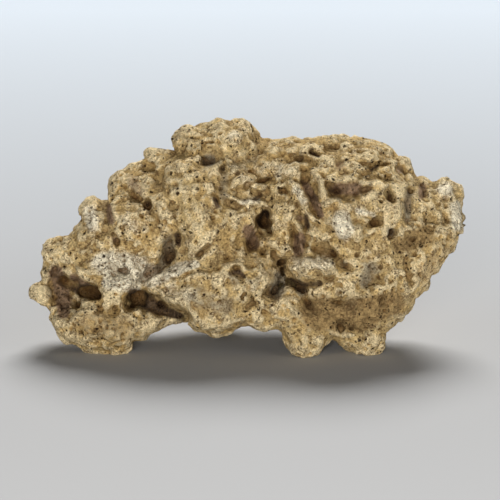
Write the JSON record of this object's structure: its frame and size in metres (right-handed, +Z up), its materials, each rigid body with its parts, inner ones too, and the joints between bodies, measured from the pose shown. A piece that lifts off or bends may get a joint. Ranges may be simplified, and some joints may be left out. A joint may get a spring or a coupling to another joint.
{
  "type": "reef rock",
  "caption": "Craggy porous reef rock, long and low, with an overhanging slab, caves and pits, standing over a low arch on small flat feet.",
  "frame": {"origin": "middle of the stone's bounding box, at the level of the surface that it stands on", "axes": "+X along the stone to the viewer's right, +Y from the pictured front to the back, +Z up"},
  "size_m": [0.3066, 0.135, 0.1572],
  "materials": {
    "reef_stone": "rough, porous, dry"
  },
  "bodies": {
    "root": {"reef_rock": "reef_stone"}
  },
  "joints": []
}
